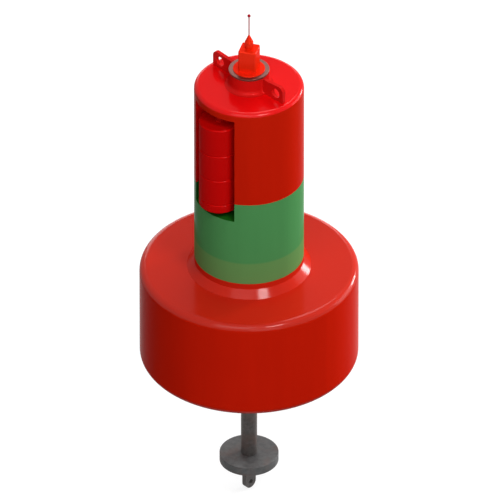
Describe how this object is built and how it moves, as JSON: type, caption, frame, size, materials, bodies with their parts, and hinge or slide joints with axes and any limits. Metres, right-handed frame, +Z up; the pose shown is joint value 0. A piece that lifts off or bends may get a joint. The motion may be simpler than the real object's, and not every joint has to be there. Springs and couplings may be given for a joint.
{
  "type": "navigation buoy",
  "caption": "Preferred-channel navigation buoy: red drum float, green and red tower with a radar reflector in a pocket, lantern, lifting lugs, and a weighted tail with a mooring eye.",
  "frame": {"origin": "the buoy's axis at its waterline, 200 mm above the float's flat bottom", "axes": "+Z up the tower; the reflector's pocket opens towards -Y; the lifting lugs stand on the X axis"},
  "size_m": [1.2, 1.2, 3.157],
  "materials": {
    "red_polyethylene": "rotomoulded, semi-gloss",
    "green_polyethylene": "rotomoulded, semi-gloss",
    "reflector_plastic": "moulded, gloss",
    "stainless_fittings": "satin",
    "weathered_galvanising": "dull, mottled",
    "cast_ballast": "rough, mottled",
    "red_painted_steel": "gloss paint",
    "grey_aluminium": "satin",
    "lantern_plastic": "moulded, gloss",
    "lantern_lens": "moulded, gloss",
    "spike_metal": "gloss"
  },
  "bodies": {
    "root": {"float_body": "red_polyethylene", "tower_green": "green_polyethylene", "tower_red": "red_polyethylene", "reflector_body": "reflector_plastic", "reflector_cap": "reflector_plastic", "reflector_stand": "reflector_plastic", "reflector_bracket": "red_painted_steel", "bracket_bolts": "red_painted_steel", "reflector_stud": "red_painted_steel", "central_tube": "weathered_galvanising", "bottom_flange": "weathered_galvanising", "flange_gussets": "weathered_galvanising", "flange_bolts": "stainless_fittings", "ballast_disc": "cast_ballast", "tail_plate": "weathered_galvanising", "mooring_eye": "weathered_galvanising", "pedestal": "red_painted_steel", "lifting_lug_east": "red_painted_steel", "lifting_lug_west": "red_painted_steel", "mounting_plate": "grey_aluminium", "lantern_base": "lantern_plastic", "lantern_housing": "lantern_plastic", "lantern_lens": "lantern_lens", "spike_rod": "spike_metal", "spike_ball": "spike_metal"}
  },
  "joints": []
}
